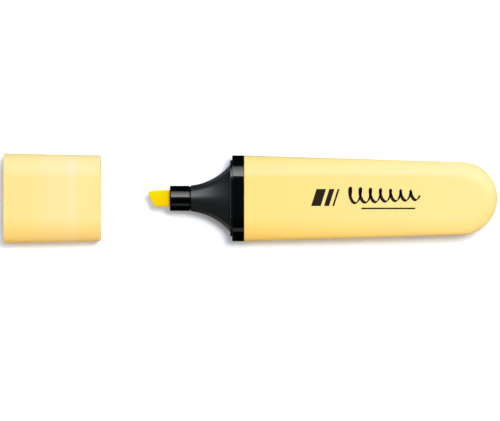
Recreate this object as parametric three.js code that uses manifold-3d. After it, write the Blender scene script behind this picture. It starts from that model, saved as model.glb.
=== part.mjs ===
// A chisel-tip highlighter with a flat, tapered barrel, lying on its flat side with the cap pulled off in
// line with the nib. Units are millimetres and +Z is up. X runs along the pen, from the cap's closed end
// to the barrel's tail, Y runs across its width, and the surface it lies on is Z = 0.
//
// Lengths along the pen are first measured from the seat, the step of the front section that the cap's
// mouth comes to rest against: nib and cap lie on its negative side, the barrel on its positive side.
// The last step moves everything so that the origin is at the middle of the object's footprint.
import * as THREE from "three";
import { mergeVertices } from "three/addons/utils/BufferGeometryUtils.js";
import Module from "manifold-3d";

const wasm = await Module();
wasm.setup();

// ---------------------------------------------------------------- driving dimensions
const THICKNESS = 15; // over the two flat faces
const WIDTH = 26.8; // of the ring, the barrel's mouth and the cap's mouth
const WALL = 1.2; // of the barrel
const RUNNING_GAP = 0.1; // between parts that are pushed into each other

const RING_LENGTH = 3.7;
const BARREL_LENGTH = 79;
const TAIL_RADIUS = 11.3; // of the round tail, seen from above
// The edges between flat faces and narrow sides are quarter ellipses: y is how far in from the side the
// flat face starts, z how far down from the face the side starts.
const MOUTH_ROUNDING = { y: 7.2, z: 7.2 };
const TAIL_ROUNDING = { y: 5.4, z: 3 };

const LIP_LENGTH = 0.65; // low step in front of the ring, which the cap's mouth slides over
const LIP_INSET = 1.5;
const NECK_END = -12.9; // where the flared neck meets the collar
const FLARE_RADIUS = 18.25; // the neck's outline is an arc of this radius
const FLARE_CENTRE = { x: -14.7, y: 22.2 };
const NECK_ROOT = { halfY: 10.6, halfZ: 5.3 }; // the neck's oval section where it meets the lip

const COLLAR_FRONT = -19.5;
const COLLAR_RADIUS = 3.92;
const COLLAR_EDGE = 0.35; // rounding of its front edge
const COLLAR_GROOVE = { length: 0.3, depth: 0.14 };

const SKIRT_LENGTH = 8; // the plug that holds the front section in the barrel
const SKIRT_WALL = 1.1;
const SNAP_BEAD = { from: 7, length: 0.8, height: 0.2 };

const NIB = { tip: -26.25, halfY: 2.55, halfZ: 1.75, corner: 0.6, tail: 7.2 };
const NIB_CLEARANCE = 0.15;

const RESERVOIR = { from: 0.8, length: 65, coreRadius: 4.55, wrapInner: 4.65, wrapOuter: 4.9 };
const BREATHER = { outer: 0.6, inner: 0.35, offset: 3.95, proud: 0.35 };

const CAP_LENGTH = 30.3;
const CAP_END_WIDTH = 28.1; // the cap widens towards its closed end
const CAP_WALL = 1.25;
const CAP_DRAFT = 0.15; // how much the hollow narrows on each side, from the mouth to the floor
const CAP_END_EDGE = 0.5; // rounding around the closed end
const CAP_OFF = 41.1; // how far the cap stands off its seat

const INNER_CAP = { rim: -13.4, end: -28.95, outer: 5.1, bore: 4.02, floor: 1, chamfer: 0.4 };
const SEAL_BEAD = { at: -16.6, length: 0.8, height: 0.04 };
const SOCKET = { radius: 6.3, length: 6 }; // tube in the cap that grips the inner cap
const WEB = { end: -17, thickness: 1 }; // plates that tie the tube to the cap's narrow sides

const ROUND = 36; // segments of a full circle
const CORNER_SEGMENTS = 6; // segments of a section's rounded corner

const HALF_T = THICKNESS / 2;
const BARREL_FRONT = RING_LENGTH;
const SKIRT_END = BARREL_FRONT + SKIRT_LENGTH;
const TAIL_CENTRE = RING_LENGTH + BARREL_LENGTH - TAIL_RADIUS;

// ---------------------------------------------------------------- colours
const plastic = (color, roughness) => new THREE.MeshStandardMaterial({ color, roughness, metalness: 0 });
const BODY_YELLOW = plastic(0xfde68f, 0.42);
const BLACK = plastic(0x121516, 0.28);
const NIB_YELLOW = plastic(0xf8d806, 0.9);
const FIBRE = plastic(0xf3e23c, 0.95);
const FILM = plastic(0xe9eeee, 0.15);
const BREATHER_WHITE = plastic(0xf4f5f0, 0.35);
const SEAL_WHITE = plastic(0xf3f1e6, 0.5);

// ---------------------------------------------------------------- solids
const lerp = THREE.MathUtils.lerp;

// A closed BufferGeometry as a solid that can be joined and cut.
function solidOf(geometry) {
  const bare = new THREE.BufferGeometry().setAttribute("position", geometry.getAttribute("position"));
  if (geometry.index) bare.setIndex(geometry.index);
  const merged = mergeVertices(bare, 1e-4);
  const vertProperties = merged.attributes.position.array;
  const triVerts = new Uint32Array(merged.index.array);
  return new wasm.Manifold(new wasm.Mesh({ numProp: 3, vertProperties, triVerts }));
}

function geometryOf(solid) {
  const mesh = solid.getMesh();
  return new THREE.BufferGeometry()
    .setAttribute("position", new THREE.BufferAttribute(Float32Array.from(mesh.vertProperties), 3))
    .setIndex(new THREE.BufferAttribute(Uint32Array.from(mesh.triVerts), 1));
}

// One cross-section of the pen as points in Y and Z, anticlockwise seen from +X: a rectangle whose
// corners are quarter ellipses, measured cornerY across the width and cornerZ down the thickness.
function section({ halfY, halfZ, cornerY, cornerZ }) {
  const shape = new THREE.Shape();
  const y = halfY - cornerY;
  const z = halfZ - cornerZ;
  const corners = [[y, -z, -90], [y, z, 0], [-y, z, 90], [-y, -z, 180]];
  const points = [];
  for (const [cy, cz, start] of corners) {
    const from = THREE.MathUtils.degToRad(start);
    const arc = new THREE.EllipseCurve(cy, cz, cornerY, cornerZ, from, from + Math.PI / 2);
    points.push(...arc.getPoints(CORNER_SEGMENTS));
  }
  shape.setFromPoints(points);
  return shape.getPoints();
}

// A solid skinned over cross-sections at growing x. Two stations at one x make a flat step.
function loft(stations) {
  const rings = stations.map((s) => section(s));
  const n = rings[0].length;
  const positions = [];
  stations.forEach((s, i) => rings[i].forEach((p) => positions.push(s.x, p.x, p.y)));
  const index = [];
  for (let i = 0; i + 1 < rings.length; i++) {
    for (let j = 0; j < n; j++) {
      const a = i * n + j;
      const b = i * n + ((j + 1) % n);
      index.push(a, b, a + n, b, b + n, a + n);
    }
  }
  const ends = THREE.ShapeUtils.triangulateShape(rings[0], []);
  const last = (rings.length - 1) * n;
  for (const [a, b, c] of ends) index.push(a, c, b);
  for (const [a, b, c] of THREE.ShapeUtils.triangulateShape(rings.at(-1), [])) {
    index.push(last + a, last + b, last + c);
  }
  const geometry = new THREE.BufferGeometry();
  geometry.setAttribute("position", new THREE.Float32BufferAttribute(positions, 3));
  geometry.setIndex(index);
  return solidOf(geometry);
}

// An oval section keeps a hair's breadth of flat between its quarters, so that no two points coincide.
const HAIR = 0.005;

function oval(x, halfY, halfZ) {
  return { x, halfY, halfZ, cornerY: halfY - HAIR, cornerZ: halfZ - HAIR };
}

const round = (x, radius) => oval(x, radius, radius);

const rod = (from, to, radius) => loft([round(from, radius), round(to, radius)]);

// A solid of revolution about the pen's axis, from [x, radius] points that start and end on the axis.
function turned(profile) {
  const lathe = new THREE.LatheGeometry(profile.map(([x, r]) => new THREE.Vector2(r, x)), ROUND);
  return solidOf(lathe.rotateZ(-Math.PI / 2));
}

// A block between two values on each axis, given in either order.
function span(x, y, z) {
  const box = new THREE.BoxGeometry(Math.abs(x[1] - x[0]), Math.abs(y[1] - y[0]), Math.abs(z[1] - z[0]));
  return solidOf(box.translate((x[0] + x[1]) / 2, (y[0] + y[1]) / 2, (z[0] + z[1]) / 2));
}

// ---------------------------------------------------------------- the barrel's form
// The narrow sides run straight from the mouth and meet the round tail as tangents.
function sideTangent() {
  const dx = BARREL_FRONT - TAIL_CENTRE;
  const dy = WIDTH / 2;
  return Math.atan2(dy, dx) - Math.acos(TAIL_RADIUS / Math.hypot(dx, dy));
}

const TANGENT = sideTangent(); // angle, from +X, of the normal of the +Y side

function barrelHalfWidth(x) {
  return (TAIL_RADIUS - (x - TAIL_CENTRE) * Math.cos(TANGENT)) / Math.sin(TANGENT);
}

// The edges tighten towards the tail, quickly at first and then more slowly.
function rounding(x) {
  const u = THREE.MathUtils.clamp((x - BARREL_FRONT) / (TAIL_CENTRE - BARREL_FRONT), 0, 1);
  const share = (1 - u) ** 2;
  return {
    y: lerp(TAIL_ROUNDING.y, MOUTH_ROUNDING.y, share),
    z: lerp(TAIL_ROUNDING.z, MOUTH_ROUNDING.z, share),
  };
}

// The barrel's section at x, set in from its outer surface.
function barrelSection(x, inset) {
  return {
    x,
    halfY: barrelHalfWidth(x) - inset,
    halfZ: HALF_T - inset,
    cornerY: rounding(x).y - inset,
    cornerZ: rounding(x).z - inset,
  };
}

// The barrel's outline on its +Y side, from the mouth to the tip of the tail, with its normals.
function halfOutline(startX, inset) {
  const sideStations = 7;
  const tailStations = 8;
  const points = [];
  const [nx, ny] = [Math.cos(TANGENT), Math.sin(TANGENT)];
  const tangentX = TAIL_CENTRE + TAIL_RADIUS * nx;
  for (let i = 0; i < sideStations; i++) {
    const x = lerp(startX, tangentX, i / sideStations);
    points.push({ x: x - inset * nx, y: barrelHalfWidth(x) - inset * ny, nx, ny, edge: rounding(x) });
  }
  points[0].x = startX;
  for (let i = 0; i <= tailStations; i++) {
    const angle = TANGENT * (1 - i / tailStations);
    const [cos, sin] = [Math.cos(angle), Math.sin(angle)];
    const radius = TAIL_RADIUS - inset;
    const x = TAIL_CENTRE + radius * cos;
    points.push({ x, y: radius * sin, nx: cos, ny: sin, edge: TAIL_ROUNDING });
  }
  return points;
}

// The barrel's form from startX to the tail: two flat faces and, following the outline, the rounded band
// that joins them.
function slab(startX, inset) {
  const half = halfOutline(startX, inset);
  const mirrored = half.slice(0, -1).reverse().map((p) => ({ ...p, y: -p.y, ny: -p.ny }));
  const outline = [...half, ...mirrored];
  const band = [];
  for (const side of [1, -1]) {
    for (let k = 0; k <= CORNER_SEGMENTS; k++) {
      const turn = ((side > 0 ? k : CORNER_SEGMENTS - k) / CORNER_SEGMENTS) * (Math.PI / 2);
      band.push({ side, inwards: 1 - Math.sin(turn), drop: 1 - Math.cos(turn) });
    }
  }
  const rows = outline.length;
  const columns = band.length;
  const positions = [];
  outline.forEach((p, i) => {
    const atMouth = i === 0 || i === rows - 1;
    for (const b of band) {
      const inwards = b.inwards * (p.edge.y - inset);
      const height = HALF_T - inset - b.drop * (p.edge.z - inset);
      positions.push(atMouth ? p.x : p.x - inwards * p.nx, p.y - inwards * p.ny, b.side * height);
    }
  });
  const index = [];
  for (let i = 0; i + 1 < rows; i++) {
    for (let k = 0; k + 1 < columns; k++) {
      const a = i * columns + k;
      const b = a + columns;
      index.push(a, b, a + 1, b, b + 1, a + 1);
    }
  }
  const flat = (k) => outline.map((_, i) => i * columns + k);
  const down = [...Array(columns).keys()];
  const up = [...down].reverse();
  const mouth = [...down, ...up.map((k) => (rows - 1) * columns + k)];
  const face = (corners, u, v, flip) => {
    const ring = corners.map((c) => new THREE.Vector2(positions[3 * c + u], positions[3 * c + v]));
    for (const [a, b, c] of THREE.ShapeUtils.triangulateShape(ring, [])) {
      index.push(corners[a], corners[flip ? c : b], corners[flip ? b : c]);
    }
  };
  face(flat(0), 0, 1, false);
  face(flat(columns - 1), 0, 1, true);
  face(mouth, 1, 2, true);
  const geometry = new THREE.BufferGeometry();
  geometry.setAttribute("position", new THREE.Float32BufferAttribute(positions, 3));
  geometry.setIndex(index);
  return solidOf(geometry);
}

// ---------------------------------------------------------------- barrel
// A shell open at the mouth, with a groove that the front section's bead snaps into.
function barrelShell() {
  const groove = { from: SNAP_BEAD.from - 0.3, to: SNAP_BEAD.from + SNAP_BEAD.length + 0.3, depth: 0.3 };
  const grooveInset = WALL - groove.depth;
  const hollow = slab(BARREL_FRONT - HAIR, WALL)
    .add(loft([barrelSection(BARREL_FRONT - 1, WALL), barrelSection(BARREL_FRONT + 1, WALL)]))
    .add(loft([barrelSection(groove.from, grooveInset), barrelSection(groove.to, grooveInset)]));
  return slab(BARREL_FRONT, 0).subtract(hollow);
}

// Four ribs centre the reservoir. At its far end they reach further in and stop it.
function barrelRib(sideY, sideZ) {
  const rib = { y: 3.1, width: 1, z: 4.1, stopZ: 1.6, stopLength: 4 };
  const root = HALF_T - WALL + 0.3;
  const stopFrom = RESERVOIR.from + RESERVOIR.length + 0.5;
  const from = BARREL_FRONT + SKIRT_LENGTH + 0.6;
  const to = stopFrom + rib.stopLength;
  const y = [sideY * rib.y, sideY * (rib.y + rib.width)];
  return span([from, to], y, [sideZ * rib.z, sideZ * root])
    .add(span([stopFrom, to], y, [sideZ * rib.stopZ, sideZ * root]));
}

function barrel() {
  let shell = barrelShell();
  for (const sideY of [-1, 1]) {
    for (const sideZ of [-1, 1]) shell = shell.add(barrelRib(sideY, sideZ));
  }
  return shell;
}

// ---------------------------------------------------------------- front section
const flareHalfWidth = (x) => FLARE_CENTRE.y - Math.sqrt(FLARE_RADIUS ** 2 - (x - FLARE_CENTRE.x) ** 2);

// The neck's section: round at the collar, a wide oval at the lip.
function neckSection(x, inset = 0) {
  const start = flareHalfWidth(NECK_END);
  const halfY = flareHalfWidth(x);
  const grown = (halfY - start) / (NECK_ROOT.halfY - start);
  const halfZ = lerp(start, NECK_ROOT.halfZ, grown);
  return oval(x, halfY - inset, halfZ - inset);
}

const ringSection = (x, inset) => ({ ...barrelSection(BARREL_FRONT, inset), x });

function frontSectionSkin() {
  const stations = [];
  const edgeSteps = 3;
  for (let i = 0; i <= edgeSteps; i++) {
    const turn = (i / edgeSteps) * (Math.PI / 2);
    const x = COLLAR_FRONT + COLLAR_EDGE * (1 - Math.cos(turn));
    stations.push(round(x, COLLAR_RADIUS - COLLAR_EDGE * (1 - Math.sin(turn))));
  }
  const grooveStart = NECK_END - COLLAR_GROOVE.length;
  stations.push(round(grooveStart, COLLAR_RADIUS));
  stations.push(round(grooveStart, COLLAR_RADIUS - COLLAR_GROOVE.depth));
  stations.push(round(NECK_END, COLLAR_RADIUS - COLLAR_GROOVE.depth));
  const neckSteps = 10;
  for (let i = 0; i <= neckSteps; i++) {
    stations.push(neckSection(lerp(NECK_END, -LIP_LENGTH, i / neckSteps)));
  }
  const ringEnd = BARREL_FRONT - 0.02; // the barrel's mouth bears on it
  stations.push(ringSection(-LIP_LENGTH, LIP_INSET), ringSection(0, LIP_INSET));
  stations.push(ringSection(0, 0), ringSection(ringEnd, 0));
  const inset = WALL + RUNNING_GAP;
  const bead = inset - SNAP_BEAD.height;
  const beadEnd = SNAP_BEAD.from + SNAP_BEAD.length;
  const ramp = 0.2;
  const leadIn = { length: 0.6, depth: 0.3 };
  stations.push(barrelSection(ringEnd, inset));
  stations.push(barrelSection(SNAP_BEAD.from, inset), barrelSection(SNAP_BEAD.from + ramp, bead));
  stations.push(barrelSection(beadEnd - ramp, bead), barrelSection(beadEnd, inset));
  stations.push(barrelSection(SKIRT_END - leadIn.length, inset));
  stations.push(barrelSection(SKIRT_END, inset + leadIn.depth));
  return loft(stations);
}

// The nib's channel, the hollow of the neck behind it and the open end of the skirt.
function frontSectionHollow() {
  const channel = {
    halfY: NIB.halfY + NIB_CLEARANCE,
    halfZ: NIB.halfZ + NIB_CLEARANCE,
    cornerY: NIB.corner,
    cornerZ: NIB.corner,
  };
  const neckWall = 1.3;
  const hollowFrom = -8.4;
  const inset = WALL + RUNNING_GAP + SKIRT_WALL;
  return loft([
    { x: COLLAR_FRONT - 1, ...channel },
    { x: hollowFrom - neckWall, ...channel },
    neckSection(hollowFrom, neckWall),
    neckSection(-5, neckWall),
    neckSection(-2.4, neckWall),
    { ...neckSection(-1, neckWall), x: -0.4 },
    barrelSection(0.4, inset),
    barrelSection(SKIRT_END + 1, inset),
  ]);
}

// Two walls across the skirt hold the end of the reservoir between them.
function frontSection() {
  const inner = RESERVOIR.wrapOuter + 2 * RUNNING_GAP;
  const wall = { inner, thickness: 0.9, from: 0.6, to: SKIRT_END - 1 };
  const root = HALF_T - WALL - RUNNING_GAP - SKIRT_WALL + 0.3;
  let shell = frontSectionSkin().subtract(frontSectionHollow());
  for (const side of [-1, 1]) {
    const y = [side * wall.inner, side * (wall.inner + wall.thickness)];
    shell = shell.add(span([wall.from, wall.to], y, [-root, root]));
  }
  return shell;
}

// ---------------------------------------------------------------- nib
// A porous bar: a slanted chisel edge in front, bevelled on both flat sides, and a pointed tail in the
// reservoir.
function nibChisel() {
  const bevelFrom = -20.6;
  const edgeHalf = 0.85;
  const long = 8;
  const { tip, halfY } = NIB;
  const outline = new THREE.Shape();
  outline.moveTo(long, -halfY);
  outline.lineTo(long, halfY);
  outline.lineTo(tip + 3.2, halfY);
  outline.quadraticCurveTo(tip + 1.3, halfY, tip + 0.4, halfY - 0.5);
  outline.quadraticCurveTo(tip - 0.15, halfY - 0.7, tip + 0.17, halfY - 1.25);
  outline.lineTo(tip + 2, -halfY + 0.3);
  outline.quadraticCurveTo(tip + 2.15, -halfY, tip + 2.5, -halfY);
  const planDepth = 2 * NIB.halfZ + 1;
  const planOptions = { depth: planDepth, bevelEnabled: false, curveSegments: 5 };
  const plan = new THREE.ExtrudeGeometry(outline, planOptions);
  const side = new THREE.Shape();
  side.moveTo(long, -NIB.halfZ - 0.1);
  side.lineTo(long, NIB.halfZ + 0.1);
  side.lineTo(bevelFrom, NIB.halfZ + 0.1);
  side.lineTo(NIB.tip + 0.3, edgeHalf);
  side.quadraticCurveTo(NIB.tip - 0.2, 0, NIB.tip + 0.3, -edgeHalf);
  side.lineTo(bevelFrom, -NIB.halfZ - 0.1);
  const sideDepth = 2 * NIB.halfY + 1;
  const wedgeOptions = { depth: sideDepth, bevelEnabled: false, curveSegments: 4 };
  const wedge = new THREE.ExtrudeGeometry(side, wedgeOptions);
  const planSolid = solidOf(plan.translate(0, 0, -planDepth / 2));
  const wedgeSolid = solidOf(wedge.rotateX(Math.PI / 2).translate(0, sideDepth / 2, 0));
  return planSolid.intersect(wedgeSolid);
}

function nibSection(x, scale, gap) {
  const corner = NIB.corner * scale + gap;
  const halfY = NIB.halfY * scale + gap;
  const halfZ = NIB.halfZ * scale + gap;
  return { x, halfY, halfZ, cornerY: corner, cornerZ: corner };
}

// The nib's bar, tapered where it ends inside the reservoir. A gap makes it the socket for the tail.
function nibBar(from, gap) {
  return loft([
    nibSection(from, 1, gap),
    nibSection(NIB.tail - 4.2, 1, gap),
    nibSection(NIB.tail - 1, 0.55, gap),
    nibSection(NIB.tail + gap, 0.25, gap),
  ]);
}

const nib = () => nibBar(NIB.tip - 1, 0).intersect(nibChisel());

// ---------------------------------------------------------------- reservoir
function breatherRod(radius, from, to) {
  return rod(from, to, radius).translate([0, BREATHER.offset, 0]);
}

// A rod of bonded fibres, with a socket for the nib's tail and a groove for the breather tube.
function reservoirCore() {
  const end = RESERVOIR.from + RESERVOIR.length;
  const socket = nibBar(RESERVOIR.from - 1, RUNNING_GAP);
  const groove = breatherRod(BREATHER.outer + RUNNING_GAP, RESERVOIR.from - 1, end + 1);
  return rod(RESERVOIR.from, end, RESERVOIR.coreRadius).subtract(socket).subtract(groove);
}

function reservoirWrap() {
  const end = RESERVOIR.from + RESERVOIR.length;
  const bore = rod(RESERVOIR.from - 1, end + 1, RESERVOIR.wrapInner);
  return rod(RESERVOIR.from, end, RESERVOIR.wrapOuter).subtract(bore);
}

// A thin tube that lets air to the tail of the barrel. It stands a little proud of the fibre at both ends.
function breatherTube() {
  const from = RESERVOIR.from - BREATHER.proud;
  const to = RESERVOIR.from + RESERVOIR.length + BREATHER.proud;
  return breatherRod(BREATHER.outer, from, to).subtract(breatherRod(BREATHER.inner, from - 1, to + 1));
}

// ---------------------------------------------------------------- cap
const capHalfWidth = (x) => lerp(WIDTH, CAP_END_WIDTH, -x / CAP_LENGTH) / 2;

function capSection(x, inset) {
  return {
    x,
    halfY: capHalfWidth(x) - inset,
    halfZ: HALF_T - inset,
    cornerY: MOUTH_ROUNDING.y - inset,
    cornerZ: MOUTH_ROUNDING.z - inset,
  };
}

// A box open at the mouth, with a tube on its floor that holds the inner cap.
function capShell() {
  const stations = [];
  const edgeSteps = 3;
  for (let i = 0; i <= edgeSteps; i++) {
    const turn = (i / edgeSteps) * (Math.PI / 2);
    const x = -CAP_LENGTH + CAP_END_EDGE * (1 - Math.cos(turn));
    stations.push(capSection(x, CAP_END_EDGE * (1 - Math.sin(turn))));
  }
  const mouthEdge = 0.3;
  stations.push(capSection(-mouthEdge, 0), capSection(0, mouthEdge));
  const floor = -CAP_LENGTH + CAP_WALL;
  const atMouth = capSection(0, CAP_WALL);
  const narrowed = { halfY: atMouth.halfY - CAP_DRAFT, halfZ: atMouth.halfZ - CAP_DRAFT };
  const atFloor = { ...atMouth, x: floor, ...narrowed };
  const hollow = loft([atFloor, atMouth, { ...atMouth, x: 1 }]);
  const shell = loft(stations).subtract(hollow);
  const sink = 0.3; // how far tube and webs run into the walls they stand on
  const tube = rod(floor - sink, floor + SOCKET.length, SOCKET.radius);
  const reach = atFloor.halfY + sink;
  const webs = span([floor - sink, WEB.end], [-reach, reach], [-WEB.thickness / 2, WEB.thickness / 2]);
  const bore = rod(floor, 0, INNER_CAP.outer + RUNNING_GAP);
  return shell.add(tube.add(webs).subtract(bore));
}

// A soft cup that closes on the collar and keeps the nib from drying.
function innerCap() {
  const { rim, end, outer, bore, floor, chamfer } = INNER_CAP;
  return turned([
    [end, 0],
    [end, outer - chamfer],
    [end + chamfer, outer],
    [rim - chamfer / 2, outer],
    [rim, outer - chamfer / 2],
    [rim, bore + chamfer],
    [rim - 2 * chamfer, bore],
    [SEAL_BEAD.at + SEAL_BEAD.length / 2, bore],
    [SEAL_BEAD.at, bore - SEAL_BEAD.height],
    [SEAL_BEAD.at - SEAL_BEAD.length / 2, bore],
    [end + floor + chamfer, bore],
    [end + floor, bore - chamfer],
    [end + floor, 0],
  ]);
}

// ---------------------------------------------------------------- assembly
const highlighter = new THREE.Group();
const pen = new THREE.Group();
const cap = new THREE.Group();
const nodes = [
  [pen, "barrel", barrel(), BODY_YELLOW],
  [pen, "front_section", frontSection(), BLACK],
  [pen, "nib", nib(), NIB_YELLOW],
  [pen, "reservoir_core", reservoirCore(), FIBRE],
  [pen, "reservoir_wrap", reservoirWrap(), FILM],
  [pen, "breather_tube", breatherTube(), BREATHER_WHITE],
  [cap, "cap_shell", capShell(), BODY_YELLOW],
  [cap, "inner_cap", innerCap(), SEAL_WHITE],
];
for (const [group, name, solid, material] of nodes) {
  const mesh = new THREE.Mesh(geometryOf(solid), material);
  mesh.name = name;
  group.add(mesh);
}
cap.position.x = -CAP_OFF;
highlighter.add(pen, cap);

// The footprint's middle becomes the origin, and the flat side comes to rest on Z = 0.
const tailEnd = RING_LENGTH + BARREL_LENGTH;
const capEnd = -CAP_OFF - CAP_LENGTH;
for (const group of [pen, cap]) {
  group.position.x -= (tailEnd + capEnd) / 2;
  group.position.z = HALF_T;
}

export default highlighter;
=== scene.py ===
"""A chisel-tip highlighter with a flat, tapered barrel and its cap pulled off, on a white studio floor.

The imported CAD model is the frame. The pieces that show are skinned here again, finely, on the same
dimensions. Their points are worked out in millimetres from the seat, the step that the cap's mouth comes to
rest against, with the pen's axis at Y = Z = 0, and then moved to the frame, which is in metres.
"""
from math import acos, atan2, cos, hypot, pi, radians, sin, sqrt, tan

import bmesh
import bpy
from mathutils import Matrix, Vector


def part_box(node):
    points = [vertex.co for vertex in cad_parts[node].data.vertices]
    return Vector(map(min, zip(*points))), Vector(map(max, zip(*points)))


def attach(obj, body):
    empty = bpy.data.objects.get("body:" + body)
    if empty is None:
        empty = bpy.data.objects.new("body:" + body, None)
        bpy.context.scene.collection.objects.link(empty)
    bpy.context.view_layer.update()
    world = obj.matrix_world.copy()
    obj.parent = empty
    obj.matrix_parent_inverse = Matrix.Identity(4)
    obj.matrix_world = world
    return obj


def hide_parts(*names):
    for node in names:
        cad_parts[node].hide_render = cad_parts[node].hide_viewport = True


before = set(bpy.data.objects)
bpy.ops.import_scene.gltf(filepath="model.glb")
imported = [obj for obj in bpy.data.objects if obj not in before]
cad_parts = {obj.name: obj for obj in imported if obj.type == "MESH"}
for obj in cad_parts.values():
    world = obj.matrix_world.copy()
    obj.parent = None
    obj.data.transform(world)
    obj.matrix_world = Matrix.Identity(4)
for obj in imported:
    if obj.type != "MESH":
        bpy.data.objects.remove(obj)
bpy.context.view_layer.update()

MM = 0.001

# ---------------------------------------------------------------- driving dimensions, in millimetres
RUNNING_GAP = 0.1  # between parts that are pushed into each other

RING_LENGTH = 3.7
RING_SEAM = 0.02  # between the ring's far face and the barrel's mouth
RING_ROUNDINGS = (0.09, 0.05, 0.1, 0.12)  # of the lip's edge, the corner behind it, and the ring's two edges
WALL = 1.2  # of the barrel
TAIL_RADIUS = 11.3  # of the round tail, seen from above
MOUTH_ROUNDING = (7.2, 7.2)  # how far the edges reach in from the narrow side and down from the flat face
TAIL_ROUNDING = (5.4, 3.0)
BARREL_RIM = {"rounding": 0.28, "chamfer": 0.15}  # of the mouth, outside and inside

LIP = {"length": 0.65, "inset": 1.5}  # low step in front of the ring
NECK_END = -12.9  # where the flared neck meets the collar
NECK_WALL = 1.3
NECK_ROOT = {"half_y": 10.6, "half_z": 5.3}  # the neck's oval section where it meets the lip
NECK_HOLLOW = (-1.0, -2.4, -5.0, -8.4)  # stations from the hollow's wide end to the nib's channel
FLARE = {"radius": 18.25, "x": -14.7, "y": 22.2}  # the arc of the neck's outline, and its centre
COLLAR = {"front": -19.5, "radius": 3.92, "edge": 0.35, "groove": 0.42, "groove_depth": 0.4}
SKIRT = {"from": 0.4, "length": 8.0, "wall": 1.1, "lead_in": 0.6, "lead_in_depth": 0.3}  # plug in the barrel
SNAP_BEAD = {"from": 7.0, "length": 0.8, "height": 0.2, "ramp": 0.2}
SNAP_GROOVE = {"clearance": 0.3, "depth": 0.3}
BEHIND_GROOVE = 0.5  # a plain stretch of the barrel's bore behind the groove

NIB = {"half_y": 2.55, "half_z": 1.75, "corner": 0.6, "gap": 0.15}
NIB_TAIL_END = 7.2
NIB_TAIL = ((0, 0.25), (1, 0.55), (4.2, 1.0))  # distances from that end, and shares of the full section there
CHISEL = {
    "from": -20.6,  # where the nib starts to lean and to thin
    "long_point": -0.3,  # places of the edge's two ends before they are rounded, from the nib's tip
    "short_point": 2.13,
    "edge": 0.85,  # half thickness at the edge
    "corner": 0.42,  # rounding of the section at the edge
    "nose": 0.4,  # rounding of the edge
    "droop": 0.42,  # how far the long point is rounded down from the +Y side
    "softness": 0.4,  # how far the edge's two ends are rounded back
}

CAP_WALL = 1.25
CAP_DRAFT = 0.15  # how much the hollow narrows on each side, from the mouth to the floor
CAP_EDGE = 0.4  # rounding of the closed end and of the mouth
CAP_LEAD_IN = 0.25  # chamfer inside the mouth
CAP_FLOOR_EDGE = 0.5  # rounding around the hollow's floor
GATE = {"depth": 0.13, "radius": 1.4, "slope": 0.15, "rim": 0.15}  # shallow round recess in the closed end
GATE_NUB = {"radius": 0.35, "foot": 0.42, "depth": 0.03}  # what is left of the sprue in it
INNER_CAP = {"rim": -13.4, "outer": 5.1, "bore": 4.02, "floor": 1.0, "chamfer": 0.4, "edge": 0.3}
SEAL_BEAD = {"at": -16.6, "half": 0.4, "height": 0.04}
SOCKET = {"radius": 6.3, "length": 6.0, "edge": 0.2}  # tube on the cap's floor that grips the inner cap
WEB = {"end": -17.0, "thickness": 1.0, "soft": 0.15}  # plates that tie the tube to the cap's narrow sides
SINK = 0.3  # how far tube and webs run into the walls they stand on

PRINT_THICKNESS = 0.012
STROKES = ((24.6, 27.6), (28.6, 30.2), (31.2, 31.8))  # three slanted bars, from broad to fine
STROKE_Y = (-2.4, 2.9)
RULE_X = (40.2, 57.0)
RULE_Y = (-3.4, -2.9)
SCRIBBLE = {"x": (36.0, 58.0), "middle": 0.9, "swing": 2.5, "waves": 7}

STEPS = 14  # segments of a section's rounded corner
EDGE_STEPS = 5  # segments of a small rounded edge
MARGIN = 0.3  # a row of points this far inside each flat keeps the flat's shading flat
MARGIN_SHARE = 0.4  # but no further in than this share of the flat's half
GUARD = 0.12  # the same, along the pen, next to a small rounded edge


def extent(node):
    """Lowest and highest corner of a CAD node, in millimetres."""
    low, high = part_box(node)
    return low / MM, high / MM


# ---------------------------------------------------------------- places from the frame
BARREL_LOW, BARREL_HIGH = extent("barrel")
NIB_LOW, _ = extent("nib")
CAP_LOW, CAP_HIGH = extent("cap_shell")
SEAL_LOW, _ = extent("inner_cap")

HALF_T = (BARREL_HIGH.z - BARREL_LOW.z) / 2
HALF_W = BARREL_HIGH.y
PEN = BARREL_LOW.x - RING_LENGTH  # the seat's place in the frame
CAP = CAP_HIGH.x  # the place of the cap's mouth in the frame

BARREL_FRONT = RING_LENGTH
TAIL_CENTRE = BARREL_HIGH.x - PEN - TAIL_RADIUS
SKIRT_END = BARREL_FRONT + SKIRT["length"]
NIB_TIP = NIB_LOW.x - PEN
CAP_LENGTH = CAP_HIGH.x - CAP_LOW.x
CAP_FLOOR = -CAP_LENGTH + CAP_WALL
CAP_END_HALF_W = CAP_HIGH.y
SEAL_END = SEAL_LOW.x - CAP


def lerp(a, b, t):
    """The value a share t of the way from a to b."""
    return a + (b - a) * t


# ---------------------------------------------------------------- mesh helpers
def finish_mesh(name, builder, origin_x, material, body, crease=32):
    """Turns a bmesh of millimetre points into an object in the frame, creased where it bends sharply."""
    for vert in builder.verts:
        vert.co = Vector((vert.co.x + origin_x, vert.co.y, vert.co.z + HALF_T)) * MM
    bmesh.ops.recalc_face_normals(builder, faces=builder.faces)
    mesh = bpy.data.meshes.new(name)
    builder.to_mesh(mesh)
    builder.free()
    for polygon in mesh.polygons:
        polygon.use_smooth = True
    mesh.set_sharp_from_angle(angle=radians(crease))
    mesh.materials.append(material)
    piece = bpy.data.objects.new(name, mesh)
    bpy.context.scene.collection.objects.link(piece)
    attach(piece, body)
    return piece


def bridge(builder, ring_a, ring_b):
    """Faces between two rings with the same number of vertices."""
    count = len(ring_a)
    for j in range(count):
        k = (j + 1) % count
        builder.faces.new((ring_a[j], ring_a[k], ring_b[k], ring_b[j]))


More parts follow.
